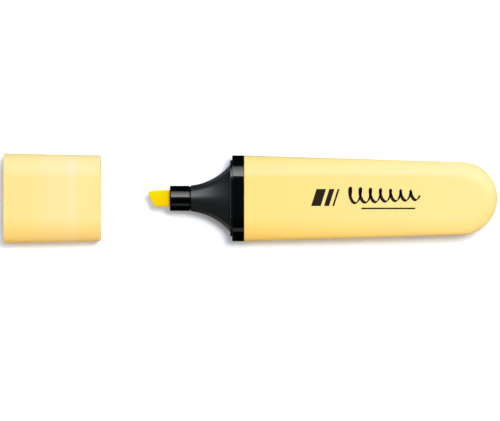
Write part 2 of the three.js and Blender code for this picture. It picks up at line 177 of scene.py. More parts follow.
def skin(rings, closed=False):
    """A bmesh skinned over rings with the same number of points. Open skins end in flat faces."""
    builder = bmesh.new()
    rows = [[builder.verts.new(point) for point in ring] for ring in rings]
    for a, b in zip(rows, rows[1:]):
        bridge(builder, a, b)
    if closed:
        bridge(builder, rows[-1], rows[0])
    else:
        builder.faces.new(reversed(rows[0]))
        builder.faces.new(rows[-1])
    return builder


def oblong(x, half_y, half_z, corner_y, corner_z):
    """A section across the pen: a rectangle with quarter-ellipse corners, anticlockwise seen from +X."""
    ring = []
    flat_y = min(MARGIN, MARGIN_SHARE * (half_y - corner_y))
    flat_z = min(MARGIN, MARGIN_SHARE * (half_z - corner_z))
    for quarter, (side_y, side_z) in enumerate(((1, -1), (1, 1), (-1, 1), (-1, -1))):
        centre_y = side_y * (half_y - corner_y)
        centre_z = side_z * (half_z - corner_z)
        start = -pi / 2 + quarter * pi / 2
        arc = []
        for i in range(STEPS + 1):
            turn = start + i / STEPS * pi / 2
            arc.append((x, centre_y + corner_y * cos(turn), centre_z + corner_z * sin(turn)))
        before = flat_y if quarter % 2 == 0 else flat_z
        after = flat_z if quarter % 2 == 0 else flat_y
        end = start + pi / 2
        ring.append((x, arc[0][1] + before * sin(start), arc[0][2] - before * cos(start)))
        ring += arc
        ring.append((x, arc[-1][1] - after * sin(end), arc[-1][2] + after * cos(end)))
    return ring


def oval(x, half_y, half_z):
    """An elliptical section, with its points paired to those of an oblong one."""
    count = 4 * (STEPS + 3)
    turns = [-pi / 2 + (i + 0.5) * 2 * pi / count for i in range(count)]
    return [(x, half_y * cos(turn), half_z * sin(turn)) for turn in turns]


def circle(x, radius):
    """A round section, with its points paired to those of an oblong one."""
    return oval(x, radius, radius)


def mix(ring_a, ring_b, share):
    """A ring whose points lie a share of the way from one ring's points to the other's."""
    return [tuple(lerp(a, b, share) for a, b in zip(p, q)) for p, q in zip(ring_a, ring_b)]


def turned_rings(profile, segments):
    """Rings about the pen's axis through [x, radius] points."""
    turns = [2 * pi * i / segments for i in range(segments)]
    return [[(x, radius * cos(turn), radius * sin(turn)) for turn in turns] for x, radius in profile]


def quarter_turn(steps):
    """Sine and cosine of the angles after 0 up to a right angle."""
    return [(sin(i / steps * pi / 2), cos(i / steps * pi / 2)) for i in range(1, steps + 1)]


def fillet(corner, start, end, radius, steps=4):
    """Points of a rounded corner between the directions of start and end, in any two coordinates."""
    corner = Vector(corner)
    a = (Vector(start) - corner).normalized()
    b = (Vector(end) - corner).normalized()
    half = a.angle(b) / 2
    centre = corner + (a + b).normalized() * (radius / sin(half))
    reach = radius / tan(half)
    arm_a, arm_b = corner + a * reach - centre, corner + b * reach - centre
    return [tuple(centre + arm_a.lerp(arm_b, i / steps).normalized() * radius) for i in range(steps + 1)]


def guarded(arc, before, after):
    """An arc with a point a little way into each straight next to it, which keeps their shading straight."""
    path = list(arc)
    room = 2.5 * GUARD
    for place, end, towards in ((0, arc[0], before), (len(path) + 1, arc[-1], after)):
        way = Vector(towards) - Vector(end)
        if way.length > room:
            path.insert(place, tuple(Vector(end) + way.normalized() * GUARD))
    return path


def rounded_path(points, radii):
    """A polyline whose inner corners are rounded, each with its own radius."""
    path = [points[0]]
    for before, corner, after, radius in zip(points, points[1:], points[2:], radii):
        path += guarded(fillet(corner, before, after, radius), before, after) if radius else [corner]
    path.append(points[-1])
    return path


# ---------------------------------------------------------------- the barrel's form
def side_tangent():
    """The angle, from +X, of the normal of the straight +Y side, which meets the round tail as a tangent."""
    dx = BARREL_FRONT - TAIL_CENTRE
    return atan2(HALF_W, dx) - acos(TAIL_RADIUS / hypot(dx, HALF_W))


TANGENT = side_tangent()


def barrel_half_width(x):
    """Of the straight, tapered part."""
    return (TAIL_RADIUS - (x - TAIL_CENTRE) * cos(TANGENT)) / sin(TANGENT)


def rounding(x):
    """The edges tighten towards the tail, quickly at first and then more slowly."""
    u = min(max((x - BARREL_FRONT) / (TAIL_CENTRE - BARREL_FRONT), 0), 1)
    share = (1 - u) ** 2
    return tuple(lerp(tail, mouth, share) for tail, mouth in zip(TAIL_ROUNDING, MOUTH_ROUNDING))


def barrel_section(x, inset, at=None):
    """The barrel's section at x, set in from the surface, drawn at another x when at is given."""
    corner_y, corner_z = rounding(x)
    half_y, half_z = barrel_half_width(x) - inset, HALF_T - inset
    return oblong(x if at is None else at, half_y, half_z, corner_y - inset, corner_z - inset)


def outline(start_x, inset, side_steps, tail_steps):
    """The barrel's outline from the mouth on +Y round the tail to the mouth on -Y: x, y, normal and edge."""
    half = []
    nx, ny = cos(TANGENT), sin(TANGENT)
    tangent_x = TAIL_CENTRE + TAIL_RADIUS * nx
    places = [0, MARGIN / (tangent_x - start_x)] + [i / side_steps for i in range(1, side_steps)]
    for share in places:
        x = lerp(start_x, tangent_x, share)
        half.append((x - inset * nx, barrel_half_width(x) - inset * ny, nx, ny, rounding(x)))
    radius = TAIL_RADIUS - inset
    for i in range(tail_steps + 1):
        turn = TANGENT * (1 - i / tail_steps)
        x, y = TAIL_CENTRE + radius * cos(turn), radius * sin(turn)
        half.append((x, y, cos(turn), sin(turn), TAIL_ROUNDING))
    return half + [(x, -y, nx, -ny, edge) for x, y, nx, ny, edge in reversed(half[:-1])]


def band(x, y, nx, ny, edge, inset):
    """Points down the rounded side at one place of the outline, from the upper flat to the lower one."""
    column = []
    for side in (1, -1):
        arc = []
        for k in range(STEPS + 1):
            turn = k / STEPS * pi / 2
            inwards = (1 - sin(turn)) * (edge[0] - inset)
            height = HALF_T - inset - (1 - cos(turn)) * (edge[1] - inset)
            arc.append((x - inwards * nx, y - inwards * ny, side * height))
        reach = edge[0] - inset + MARGIN
        arc.insert(0, (x - reach * nx, y - reach * ny, side * (HALF_T - inset)))
        drop = min(MARGIN, MARGIN_SHARE * (HALF_T - edge[1]))
        arc.append((x, y, side * (HALF_T - edge[1] - drop)))
        column += arc if side > 0 else reversed(arc)
    return column


def slab_rows(start_x, inset, side_steps, tail_steps):
    """Rows of band points along the whole outline. The two rows at the mouth stay in one plane."""
    path = outline(start_x, inset, side_steps, tail_steps)
    rows = [band(*place, inset) for place in path]
    for row in (0, -1):
        _, y, _, ny, edge = path[row]
        rows[row] = band(start_x, y, 0, 1 if ny > 0 else -1, edge, inset)
    return rows


def mouth_ring(x, inset):
    """The section at the mouth, its points in the order of a slab's first row and its last row reversed."""
    half_y = barrel_half_width(x) - inset
    edge = rounding(x)
    return band(x, half_y, 0, 1, edge, inset) + list(reversed(band(x, -half_y, 0, -1, edge, inset)))


def add_slab(builder, rows):
    """Adds the band and the two flats over the given rows, and returns the ring of vertices at the mouth."""
    grid = [[builder.verts.new(point) for point in row] for row in rows]
    for a, b in zip(grid, grid[1:]):
        for k in range(len(a) - 1):
            builder.faces.new((a[k], b[k], b[k + 1], a[k + 1]))
    builder.faces.new([row[0] for row in grid])
    builder.faces.new([row[-1] for row in reversed(grid)])
    return grid[0] + list(reversed(grid[-1]))


def snap_groove():
    """Where the groove in the barrel's bore starts and ends."""
    start = SNAP_BEAD["from"] - SNAP_GROOVE["clearance"]
    return start, SNAP_BEAD["from"] + SNAP_BEAD["length"] + SNAP_GROOVE["clearance"]


def barrel_mouth_rings():
    """From the rounded rim into the bore, and past the groove that the front section snaps into."""
    rim, chamfer = BARREL_RIM["rounding"], BARREL_RIM["chamfer"]
    rings = [mouth_ring(BARREL_FRONT + rim * (1 - s), rim * (1 - c)) for s, c in quarter_turn(EDGE_STEPS)]
    rings.append(mouth_ring(BARREL_FRONT, WALL - chamfer))
    rings.append(mouth_ring(BARREL_FRONT + chamfer, WALL))
    groove_floor = WALL - SNAP_GROOVE["depth"]
    start, end = snap_groove()
    rings += [mouth_ring(start, WALL), mouth_ring(start, groove_floor)]
    rings += [mouth_ring(end, groove_floor), mouth_ring(end, WALL)]
    return rings


def barrel(material):
    """A closed-ended shell. Its upper flat lies lower by the printing's thickness."""
    builder = bmesh.new()
    outer_rows = slab_rows(BARREL_FRONT + BARREL_RIM["rounding"], 0, side_steps=40, tail_steps=36)
    previous = add_slab(builder, outer_rows)
    for ring in barrel_mouth_rings():
        current = [builder.verts.new(point) for point in ring]
        bridge(builder, previous, current)
        previous = current
    inner_start = snap_groove()[1] + BEHIND_GROOVE
    inner_rows = slab_rows(inner_start, WALL, side_steps=24, tail_steps=24)
    bridge(builder, previous, add_slab(builder, inner_rows))
    for vert in builder.verts:
        vert.co.z = min(vert.co.z, HALF_T - PRINT_THICKNESS)
    piece = finish_mesh("barrel_shell", builder, PEN, material, "pen")
    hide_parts("barrel")


# ---------------------------------------------------------------- printing
def bar(span_x, span_y, slant=0.32):
    """A bar with slanted ends, as points in the plan."""
    (x0, x1), (y0, y1) = span_x, span_y
    shift = slant * (y1 - y0)
    return [(x0, y0), (x1, y0), (x1 + shift, y1), (x0 + shift, y1)]


def scribble(steps_per_wave=24):
    """A wavy line drawn with a broad nib: pairs of points on its two sides."""
    (x0, x1), waves = SCRIBBLE["x"], SCRIBBLE["waves"]
    fading = 0.45  # the share by which the last wave is lower
    loop = 0.35  # how far the waves lean over themselves, as a share of their height
    nib_angle = radians(40)
    thinnest, swelling = 0.16, 0.34  # half the line's thickness, and what the broad nib adds to it
    pairs = []
    steps = steps_per_wave * waves
    for i in range(steps + 1):
        t = i / steps
        phase = 2 * pi * waves * t
        height = SCRIBBLE["swing"] * (1 - fading * t)
        x = lerp(x0, x1, t) + loop * height * cos(phase)
        y = SCRIBBLE["middle"] + height * sin(phase)
        turn = atan2(height * cos(phase), (x1 - x0) / (2 * pi * waves) - loop * height * sin(phase))
        half = thinnest + swelling * abs(sin(turn - nib_angle))
        side_x, side_y = half * sin(turn), half * cos(turn)
        pairs.append(((x - side_x, y + side_y), (x + side_x, y - side_y)))
    return pairs


def printing(material):
    """Ink on the upper flat: three strokes from broad to fine, a scribble, and a rule under it."""
    low, high = HALF_T - 2 * PRINT_THICKNESS, HALF_T
    builder = bmesh.new()
    rows = []
    for left, right in scribble():
        corners = ((left, low), (left, high), (right, high), (right, low))
        rows.append([builder.verts.new((*point, z)) for point, z in corners])
    for a, b in zip(rows, rows[1:]):
        bridge(builder, a, b)
    builder.faces.new(rows[0])
    builder.faces.new(reversed(rows[-1]))
    for mark in [bar(span_x, STROKE_Y) for span_x in STROKES] + [bar(RULE_X, RULE_Y)]:
        lower = [builder.verts.new((x, y, low)) for x, y in mark]
        upper = [builder.verts.new((x, y, high)) for x, y in mark]
        bridge(builder, lower, upper)
        builder.faces.new(reversed(lower))
        builder.faces.new(upper)
    finish_mesh("barrel_print", builder, PEN, material, "pen")


# ---------------------------------------------------------------- front section
def flare_half_width(x):
    """Of the neck, whose outline is an arc that flares towards the lip."""
    return FLARE["y"] - sqrt(FLARE["radius"] ** 2 - (x - FLARE["x"]) ** 2)


NECK_RADIUS = flare_half_width(NECK_END)


def neck_section(x, inset=0):
    """Round at the collar, a wide oval at the lip."""
    half_y = flare_half_width(x)
    grown = (half_y - NECK_RADIUS) / (NECK_ROOT["half_y"] - NECK_RADIUS)
    half_z = lerp(NECK_RADIUS, NECK_ROOT["half_z"], grown)
    return oval(x, half_y - inset, half_z - inset)


def ring_section(x, inset):
    """The ring goes on from the barrel's mouth without narrowing."""
    return barrel_section(BARREL_FRONT, inset, at=x)


def collar_rings():
    """From the face around the nib, over the collar, to the groove where the neck starts."""
    start, radius = COLLAR["front"], COLLAR["radius"]
    face = 1.0  # height of the flat face in front
    groove_wall = 0.1  # along the pen, from the groove's floor to the neck
    profile = [
        (start, radius - face),
        (start, radius),
        (NECK_END - COLLAR["groove"], radius),
        (NECK_END - groove_wall, radius - COLLAR["groove_depth"]),
        (NECK_END, NECK_RADIUS),
    ]
    back_edge, groove_floor = 0.08, 0.02  # small roundings
    path = rounded_path(profile, [COLLAR["edge"], back_edge, groove_floor])
    return [circle(x, r) for x, r in path[:-1]]


def neck_rings(steps=36):
    """The flared neck, and the face of the lip that it stands on."""
    rings = [neck_section(lerp(NECK_END, -LIP["length"], i / steps)) for i in range(steps + 1)]
    lip_face = ring_section(-LIP["length"], LIP["inset"])
    rings.append(mix(rings[-1], lip_face, 0.5))
    return rings


def ring_rings():
    """The lip, the seat and the ring, and down the ring's far face to the skirt."""
    inset = WALL + RUNNING_GAP
    ring_end = BARREL_FRONT - RING_SEAM
    lip_face = 0.6  # a stretch of the lip's face, which only gives its edge a direction
    profile = [
        (-LIP["length"], LIP["inset"] + lip_face),
        (-LIP["length"], LIP["inset"]),
        (0, LIP["inset"]),
        (0, 0),
        (ring_end, 0),
        (ring_end, inset),
    ]
    path = rounded_path(profile, RING_ROUNDINGS)
    return [ring_section(x, depth) for x, depth in path[1:]]


def skirt_rings():
    """The plug in the barrel with its snap bead, and back along its inside."""
    inset = WALL + RUNNING_GAP
    bead = inset - SNAP_BEAD["height"]
    bead_from, ramp = SNAP_BEAD["from"], SNAP_BEAD["ramp"]
    bead_end = bead_from + SNAP_BEAD["length"]
    inner = inset + SKIRT["wall"]
    path = [
        (bead_from, inset),
        (bead_from + ramp, bead),
        (bead_end - ramp, bead),
        (bead_end, inset),
        (SKIRT_END - SKIRT["lead_in"], inset),
        (SKIRT_END, inset + SKIRT["lead_in_depth"]),
        (SKIRT_END, inner),
        (SKIRT["from"], inner),
    ]
    return [barrel_section(x, depth) for x, depth in path]


def channel_rings():
    """The neck's hollow and the nib's channel, which opens a little at the front."""
    rings = [neck_section(x, NECK_WALL) for x in NECK_HOLLOW]
    half_y, half_z, corner = NIB["half_y"] + NIB["gap"], NIB["half_z"] + NIB["gap"], NIB["corner"]
    front = COLLAR["front"]
    lead = 0.25  # chamfer of the channel's mouth
    rings.append(oblong(NECK_HOLLOW[-1] - NECK_WALL, half_y, half_z, corner, corner))
    rings.append(oblong(front + lead, half_y, half_z, corner, corner))
    rings.append(oblong(front, half_y + lead, half_z + lead, corner + lead, corner + lead))
    return rings


def front_section(material):
    """Collar, flared neck, lip, ring and the skirt inside the barrel, with the nib's channel through them."""
    rings = collar_rings() + neck_rings() + ring_rings() + skirt_rings() + channel_rings()
    piece = finish_mesh("front_section_shell", skin(rings, closed=True), PEN, material, "pen")
    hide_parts("front_section")


# ---------------------------------------------------------------- nib
def nib_stations(steps=22):
    """Sections from the tail to the edge: x on +Y and on -Y, +Y and -Y reach, half thickness and corner."""
    half_y, half_z, corner = NIB["half_y"], NIB["half_z"], NIB["corner"]
    stations = []
    for back, share in NIB_TAIL:
        x = NIB_TAIL_END - back
        stations.append((x, x, half_y * share, -half_y * share, half_z * share, corner * share))
    start = CHISEL["from"]
    plain_end = start + 1
    stations.append((plain_end, plain_end, half_y, -half_y, half_z, corner))
    droop_from, droop_power = 0.4, 2.2  # share of the chisel's length, and how late the long point turns down
    for i in range(steps + 1):
        t = i / steps
        long_x = lerp(start, NIB_TIP + CHISEL["long_point"], t)
        short_x = lerp(start, NIB_TIP + CHISEL["short_point"], t)
        droop = CHISEL["droop"] * max(0, (t - droop_from) / (1 - droop_from)) ** droop_power
        thickness = lerp(half_z, CHISEL["edge"], t)
        tighter = lerp(corner, CHISEL["corner"], t)
        stations.append((long_x, short_x, half_y - droop, -half_y, thickness, tighter))
    return stations


def lean(ring, long_x, short_x, middle, softness):
    """Leans a flat section from short_x on -Y to long_x on +Y, and rounds its two ends back by softness."""
    leaned = []
    reach = max(y for _, y, _ in ring)
    power = 5  # keeps the rounding near the ends
    for _, y, z in ring:
        share = (y + middle + NIB["half_y"]) / (2 * NIB["half_y"])
        rounded_back = softness * abs(y / reach) ** power
        leaned.append((lerp(short_x, long_x, share) + rounded_back, y + middle, z))
    return leaned


def nib_nose(station, steps=6):
    """The rounded rim that closes the nib in front of its last station."""
    long_x, short_x, top_y, bottom_y, thickness, corner = station
    half, middle = (top_y - bottom_y) / 2, (top_y + bottom_y) / 2
    last_turn = radians(82)
    narrowing = 1.3  # how much more the rim narrows than it thins
    smallest_corner = 0.05
    rings = []
    for i in range(1, steps + 1):
        turn = i / steps * last_turn
        shrink = CHISEL["nose"] * (1 - cos(turn))
        reach = CHISEL["nose"] * sin(turn)
        tight = max(corner - shrink, smallest_corner)
        flat = oblong(0, half - narrowing * shrink, thickness - shrink, tight, tight)
        rings.append(lean(flat, long_x - reach, short_x - reach, middle, CHISEL["softness"]))
    return rings


def nib(material):
    """A chisel: each section leans further towards the slanted edge, thins and ends in a rounded rim."""
    worn_from = 0.55  # share of the chisel's length where its corners start to round back
    stations = nib_stations()
    rings = []
    for long_x, short_x, top_y, bottom_y, thickness, corner in stations:
        flat = oblong(0, (top_y - bottom_y) / 2, thickness, corner, corner)
        along = (CHISEL["from"] - long_x) / (CHISEL["from"] - NIB_TIP)
        worn = max(0, along - worn_from) / (1 - worn_from)
        rings.append(lean(flat, long_x, short_x, (top_y + bottom_y) / 2, CHISEL["softness"] * worn**2))
    rings += nib_nose(stations[-1])
    piece = finish_mesh("nib_tip", skin(rings), PEN, material, "pen", crease=50)
    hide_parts("nib")


# ---------------------------------------------------------------- cap
def cap_half_width(x):
    """The cap widens evenly from its mouth to its closed end."""
    return lerp(HALF_W, CAP_END_HALF_W, -x / CAP_LENGTH)


def cap_section(x, inset):
    """The cap's section at x, set in from its outside."""
    corner_y, corner_z = MOUTH_ROUNDING
    return oblong(x, cap_half_width(x) - inset, HALF_T - inset, corner_y - inset, corner_z - inset)


def cap_draft(x):
    """How much the hollow has narrowed on each side at x."""
    return CAP_DRAFT * x / CAP_FLOOR


def cap_hollow_half_width(x):
    """The hollow doesn't widen with the outside."""
    return HALF_W - CAP_WALL - cap_draft(x)


def cap_hollow_section(x, inset):
    """The hollow narrows a little towards the floor, so that the cap comes off its mould."""
    corner_y, corner_z = MOUTH_ROUNDING
    depth = CAP_WALL + inset
    half_z = HALF_T - depth - cap_draft(x)
    return oblong(x, cap_hollow_half_width(x) - inset, half_z, corner_y - depth, corner_z - depth)


def cap_gate():
    """The recess in the closed end where the plastic was fed in, from its nub outwards."""
    end, floor = -CAP_LENGTH, -CAP_LENGTH + GATE["depth"]
    rim = GATE["radius"] + GATE["slope"]
    profile = [
        (end + GATE_NUB["depth"], GATE_NUB["radius"]),
        (floor, GATE_NUB["foot"]),
        (floor, GATE["radius"]),
        (end, rim),
        (end, rim + GATE["rim"]),
    ]
    return [circle(x, radius) for x, radius in profile]


def cap_walls(wall_steps=12, hollow_steps=11):
    """The outside from the closed end to the mouth, then the inside from the mouth to the floor."""
    edge = CAP_EDGE
    rings = cap_gate()
    rings.append(cap_section(-CAP_LENGTH, edge + GUARD))
    rings.append(cap_section(-CAP_LENGTH, edge))
    rings += [cap_section(-CAP_LENGTH + edge * (1 - c), edge * (1 - s)) for s, c in quarter_turn(EDGE_STEPS)]
    first, last = -CAP_LENGTH + edge + GUARD, -edge - GUARD
    rings += [cap_section(lerp(first, last, i / wall_steps), 0) for i in range(wall_steps + 1)]
    rings.append(cap_section(-edge, 0))
    rings += [cap_section(-edge * (1 - s), edge * (1 - c)) for s, c in quarter_turn(EDGE_STEPS)]
    rings.append(cap_section(0, CAP_WALL - CAP_LEAD_IN))
    edge = CAP_FLOOR_EDGE
    for i in range(hollow_steps + 1):
        rings.append(cap_hollow_section(lerp(-CAP_LEAD_IN, CAP_FLOOR + edge, i / hollow_steps), 0))
    for s, c in quarter_turn(EDGE_STEPS):
        rings.append(cap_hollow_section(CAP_FLOOR + edge * (1 - s), edge * (1 - c)))
    return skin(rings)


def cap_socket(builder):
    """The tube on the cap's floor that grips the inner cap."""
    end = CAP_FLOOR + SOCKET["length"]
    outer, edge = SOCKET["radius"], SOCKET["edge"]
    bore = INNER_CAP["outer"] + RUNNING_GAP
    profile = [
        (CAP_FLOOR - SINK, outer),
        (end - edge, outer),
        (end, outer - edge),
        (end, bore + edge),
        (end - edge, bore),
        (CAP_FLOOR - SINK, bore),
    ]
    rows = [[builder.verts.new(point) for point in ring] for ring in turned_rings(profile, segments=72)]
    for a, b in zip(rows, rows[1:] + rows[:1]):
        bridge(builder, a, b)


def cap_web(builder, side):
    """A plate that ties the socket to one of the cap's narrow sides."""
    inner = (SOCKET["radius"] + INNER_CAP["outer"]) / 2  # inside the socket's wall
    outer = cap_hollow_half_width(CAP_FLOOR) + SINK
    half, soft = WEB["thickness"] / 2, WEB["soft"]
    profile = [
        (CAP_FLOOR - SINK, -half),
        (WEB["end"] - soft, -half),
        (WEB["end"], -half + soft),
        (WEB["end"], half - soft),
        (WEB["end"] - soft, half),
        (CAP_FLOOR - SINK, half),
    ]
    faces = [[builder.verts.new((x, y, z)) for x, z in profile] for y in (side * inner, side * outer)]
    bridge(builder, faces[0], faces[1])
    builder.faces.new(faces[0])
    builder.faces.new(reversed(faces[1]))


def cap_shell(material):
    """The walls, the socket and its two webs in one mesh."""
    builder = cap_walls()
    cap_socket(builder)
    for side in (-1, 1):
        cap_web(builder, side)
    piece = finish_mesh("cap_shell_moulding", builder, CAP, material, "cap")
    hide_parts("cap_shell")


def inner_cap(material):
    """A soft cup with a sealing bead, which closes around the collar."""
    rim, outer, bore = INNER_CAP["rim"], INNER_CAP["outer"], INNER_CAP["bore"]
    chamfer, edge = INNER_CAP["chamfer"], INNER_CAP["edge"]
    floor = SEAL_END + INNER_CAP["floor"]
    bead, bead_half = SEAL_BEAD["at"], SEAL_BEAD["half"]
    profile = [
        (SEAL_END, 0),
        (SEAL_END, outer),
        (rim, outer),
        (rim, bore + chamfer),
        (rim - 2 * chamfer, bore),
        (bead + bead_half, bore),
        (bead, bore - SEAL_BEAD["height"]),
        (bead - bead_half, bore),
        (floor, bore),
        (floor, 0),
    ]
    path = rounded_path(profile, [chamfer, edge, edge / 2, edge, 0, 0, 0, chamfer])
    builder = skin(turned_rings(path[1:-1], segments=96))
    piece = finish_mesh("inner_cap_cup", builder, CAP, material, "cap")
    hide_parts("inner_cap")


# ---------------------------------------------------------------- materials
MIX_SOCKETS = {"FLOAT": (2, 3, 0), "RGBA": (6, 7, 2)}  # places of a Mix node's two values and its result
POLYPROPYLENE_IOR = 1.49
VIOLET_SHEEN = (0.35, 0.02, 0.48, 1)  # tints the yellow plastic's gloss, which cools its highlights


def srgb(r, g, b):
    """Linear colour from 8-bit sRGB."""
    def linear(c):
        c /= 255
        return c / 12.92 if c <= 0.04045 else ((c + 0.055) / 1.055) ** 2.4
    return (linear(r), linear(g), linear(b), 1)


def feed(links, socket, value):
    """Links a socket to another node's output, or sets it to a plain value."""
    if isinstance(value, bpy.types.NodeSocket):
        links.new(value, socket)
    else:
        socket.default_value = value


class Paint:
    """A new material, with the nodes that make it vary in the object's own coordinates."""

    def __init__(self, name):
        self.material = bpy.data.materials.new(name)
        self.material.use_nodes = True
        self.nodes = self.material.node_tree.nodes
        self.links = self.material.node_tree.links
        self.coords = self.nodes.new("ShaderNodeTexCoord").outputs["Object"]

    def shade(self, **inputs):
        """Feeds the shader's inputs, with underscores in place of the spaces in their names."""
        shader = self.nodes["Principled BSDF"]
        for name, value in inputs.items():
            feed(self.links, shader.inputs[name.replace("_", " ")], value)

    def place(self, axis):
        """The object's own coordinate along an axis, in metres."""
        split = self.nodes.new("ShaderNodeSeparateXYZ")
        self.links.new(self.coords, split.inputs[0])
        return split.outputs[axis]

    def remap(self, value, low=0.0, high=1.0, start=0.0, end=1.0, smooth=False):
        """Takes a value from the span between start and end to the span between low and high."""
        node = self.nodes.new("ShaderNodeMapRange")
        node.interpolation_type = "SMOOTHSTEP" if smooth else "LINEAR"
        for name, number in (("From Min", start), ("From Max", end), ("To Min", low), ("To Max", high)):
            node.inputs[name].default_value = number
        self.links.new(value, node.inputs["Value"])
        return node.outputs["Result"]

    def ramp(self, axis, stops):
        """A colour that changes along an axis, from places in millimetres and the colours there."""
        start, end = stops[0][0], stops[-1][0]
        node = self.nodes.new("ShaderNodeValToRGB")
        marks = node.color_ramp.elements
        for _ in stops[2:]:
            marks.new(1.0)
        for mark, (place, colour) in zip(marks, stops):
            mark.position = (place - start) / (end - start)
            mark.color = colour
        share = self.remap(self.place(axis), start=start * MM, end=end * MM)
        self.links.new(share, node.inputs["Fac"])
        return node.outputs["Color"]

    def stretched(self, factors):
        """The object's coordinates, scaled by a factor along each axis."""
        node = self.nodes.new("ShaderNodeMapping")
        node.inputs["Scale"].default_value = factors
        self.links.new(self.coords, node.inputs["Vector"])
        return node.outputs["Vector"]

    def noise(self, scale, detail=2, coords=None):
        """A cloudy value around a half, with scale as its clouds per metre."""
        node = self.nodes.new("ShaderNodeTexNoise")
        node.inputs["Scale"].default_value = scale
        node.inputs["Detail"].default_value = detail
        self.links.new(coords or self.coords, node.inputs["Vector"])
        return node.outputs["Fac"]

    def mix(self, share, first, second, kind="RGBA"):
        """Goes from the first colour or number to the second as the share goes from 0 to 1."""
        node = self.nodes.new("ShaderNodeMix")
        node.data_type = kind
        first_place, second_place, result_place = MIX_SOCKETS[kind]
        for place, value in (("Factor", share), (first_place, first), (second_place, second)):
            feed(self.links, node.inputs[place], value)
        return node.outputs[result_place]

    def wander(self, colour, share, low, high):
        """A colour whose brightness wanders between two factors."""
        node = self.nodes.new("ShaderNodeHueSaturation")
        self.links.new(colour, node.inputs["Color"])
        self.links.new(self.remap(share, low, high), node.inputs["Value"])
        return node.outputs["Color"]

    def bump(self, height, strength, distance):
        """Roughens the surface with a height from 0 to 1, which stands for a distance in millimetres."""
        node = self.nodes.new("ShaderNodeBump")
        node.inputs["Distance"].default_value = distance * MM
        feed(self.links, node.inputs["Strength"], strength)
        self.links.new(height, node.inputs["Height"])
        self.shade(Normal=node.outputs["Normal"])


def satin_plastic(name, stops, roughness):
    """Pastel polypropylene whose colour drifts along the pen, mottled a little in brightness and in gloss."""
    paint = Paint(name)
    mottle = paint.noise(160, detail=3)
    paint.shade(
        Base_Color=paint.wander(paint.ramp("X", stops), mottle, low=0.985, high=1.015),
        Roughness=paint.remap(mottle, *roughness),
        Specular_Tint=VIOLET_SHEEN,
        IOR=POLYPROPYLENE_IOR,
    )
    paint.bump(paint.noise(2600), strength=0.12, distance=0.02)
    return paint.material


def gloss_black(name, start, satin_from, satin_to, end):
    """Black polypropylene: polished collar and ring, satin neck whose lighter black is a painted reflection.
    """
    none, full = (0, 0, 0, 1), (1, 1, 1, 1)
    edge = 0.05  # half the width of the change from polished to satin
    # the neck's black is lighter than the polished one: a painted reflection of the dim light that the flare
    # faces
    polished_black, satin_black_painted_reflection = (0.0008, 0.0016, 0.0018, 1), (0.0082, 0.011, 0.0125, 1)
    satin_roughness = 0.28
    paint = Paint(name)
    satin = paint.ramp("X", [
        (start, none),
        (satin_from - edge, none),
        (satin_from + edge, full),
        (satin_to - edge, full),
        (satin_to + edge, none),
        (end, none),
    ])
    polish = paint.remap(paint.noise(240, detail=4), low=0.07, high=0.13)
    paint.shade(
        Base_Color=paint.mix(satin, polished_black, satin_black_painted_reflection),
        Roughness=paint.mix(satin, polish, satin_roughness, "FLOAT"),
        IOR=POLYPROPYLENE_IOR,
    )
    paint.bump(paint.noise(3200), strength=satin, distance=0.008)
    return paint.material


def print_ink(name):
    """Screen-printed ink, a little uneven and duller than the plastic."""
    paint = Paint(name)
    paint.shade(
        Base_Color=paint.mix(paint.noise(900), srgb(14, 10, 5), srgb(26, 19, 9)),
        Roughness=0.35,
        Specular_IOR_Level=0.2,
    )
    return paint.material


def ink_fibre(name, middle, edge, lit_side_span, base, base_span):
    """Bonded fibre soaked with ink, streaked along the pen, painted lit towards +Y and another colour towards
    +X.
    """
    paint = Paint(name)
    colour = middle
    # the colour towards +Y is painted light, on the side that faces the lamps
    for axis, (start, end), tone in (("Y", lit_side_span, edge), ("X", base_span, base)):
        share = paint.remap(paint.place(axis), start=start * MM, end=end * MM, smooth=True)
        colour = paint.mix(share, colour, tone)
    drawn_out = (0.12, 1, 1)
    fibre = paint.noise(5000, detail=3, coords=paint.stretched(drawn_out))
    paint.shade(
        Base_Color=paint.wander(colour, fibre, low=0.93, high=1.05),
        Roughness=0.75,
        Specular_IOR_Level=0.05,
    )
    paint.bump(fibre, strength=0.5, distance=0.06)
    return paint.material


def plain_polymer(name, colour, roughness, alpha=1.0):
    """A pale hidden part: natural polymer with a faint cloudiness."""
    darkening = 0.93
    paint = Paint(name)
    cloudy = tuple(darkening * c for c in colour[:3]) + (1,)
    paint.shade(
        Base_Color=paint.mix(paint.noise(300), colour, cloudy),
        Roughness=roughness,
        Alpha=alpha,
    )
    return paint.material


# ---------------------------------------------------------------- studio
FLOOR_HALF = 1500  # half the floor's width, in millimetres like the rest of the floor's places
FLOOR_LEVEL = -0.05
# The floor's colour along Y is a painted tint that evens out the colours of the light and shade on it, and a
# faint painted blue glow under and beside the pen keeps the floor neutral there against the light that the
# yellow pieces throw on it.
FLOOR_LIGHT_BALANCING_TINT = (
    (15, (0.93, 0.93, 0.85, 1)),
    (-13, (0.9, 0.93, 0.98, 1)),
    (-19, (0.9, 0.93, 0.94, 1)),
    (-24, (0.88, 0.91, 0.86, 1)),
    (-45, (0.86, 0.87, 0.8, 1)),
)
FLOOR_PAINTED_GLOW = (
    (13, (0, 0, 0, 1)),
    (-4, (0, 0.01, 0.11, 1)),
    (-9, (0, 0.01, 0.12, 1)),
    (-14, (0, 0.03, 0.17, 1)),
    (-18, (0, 0.015, 0.1, 1)),
    (-26, (0, 0, 0, 1)),
)

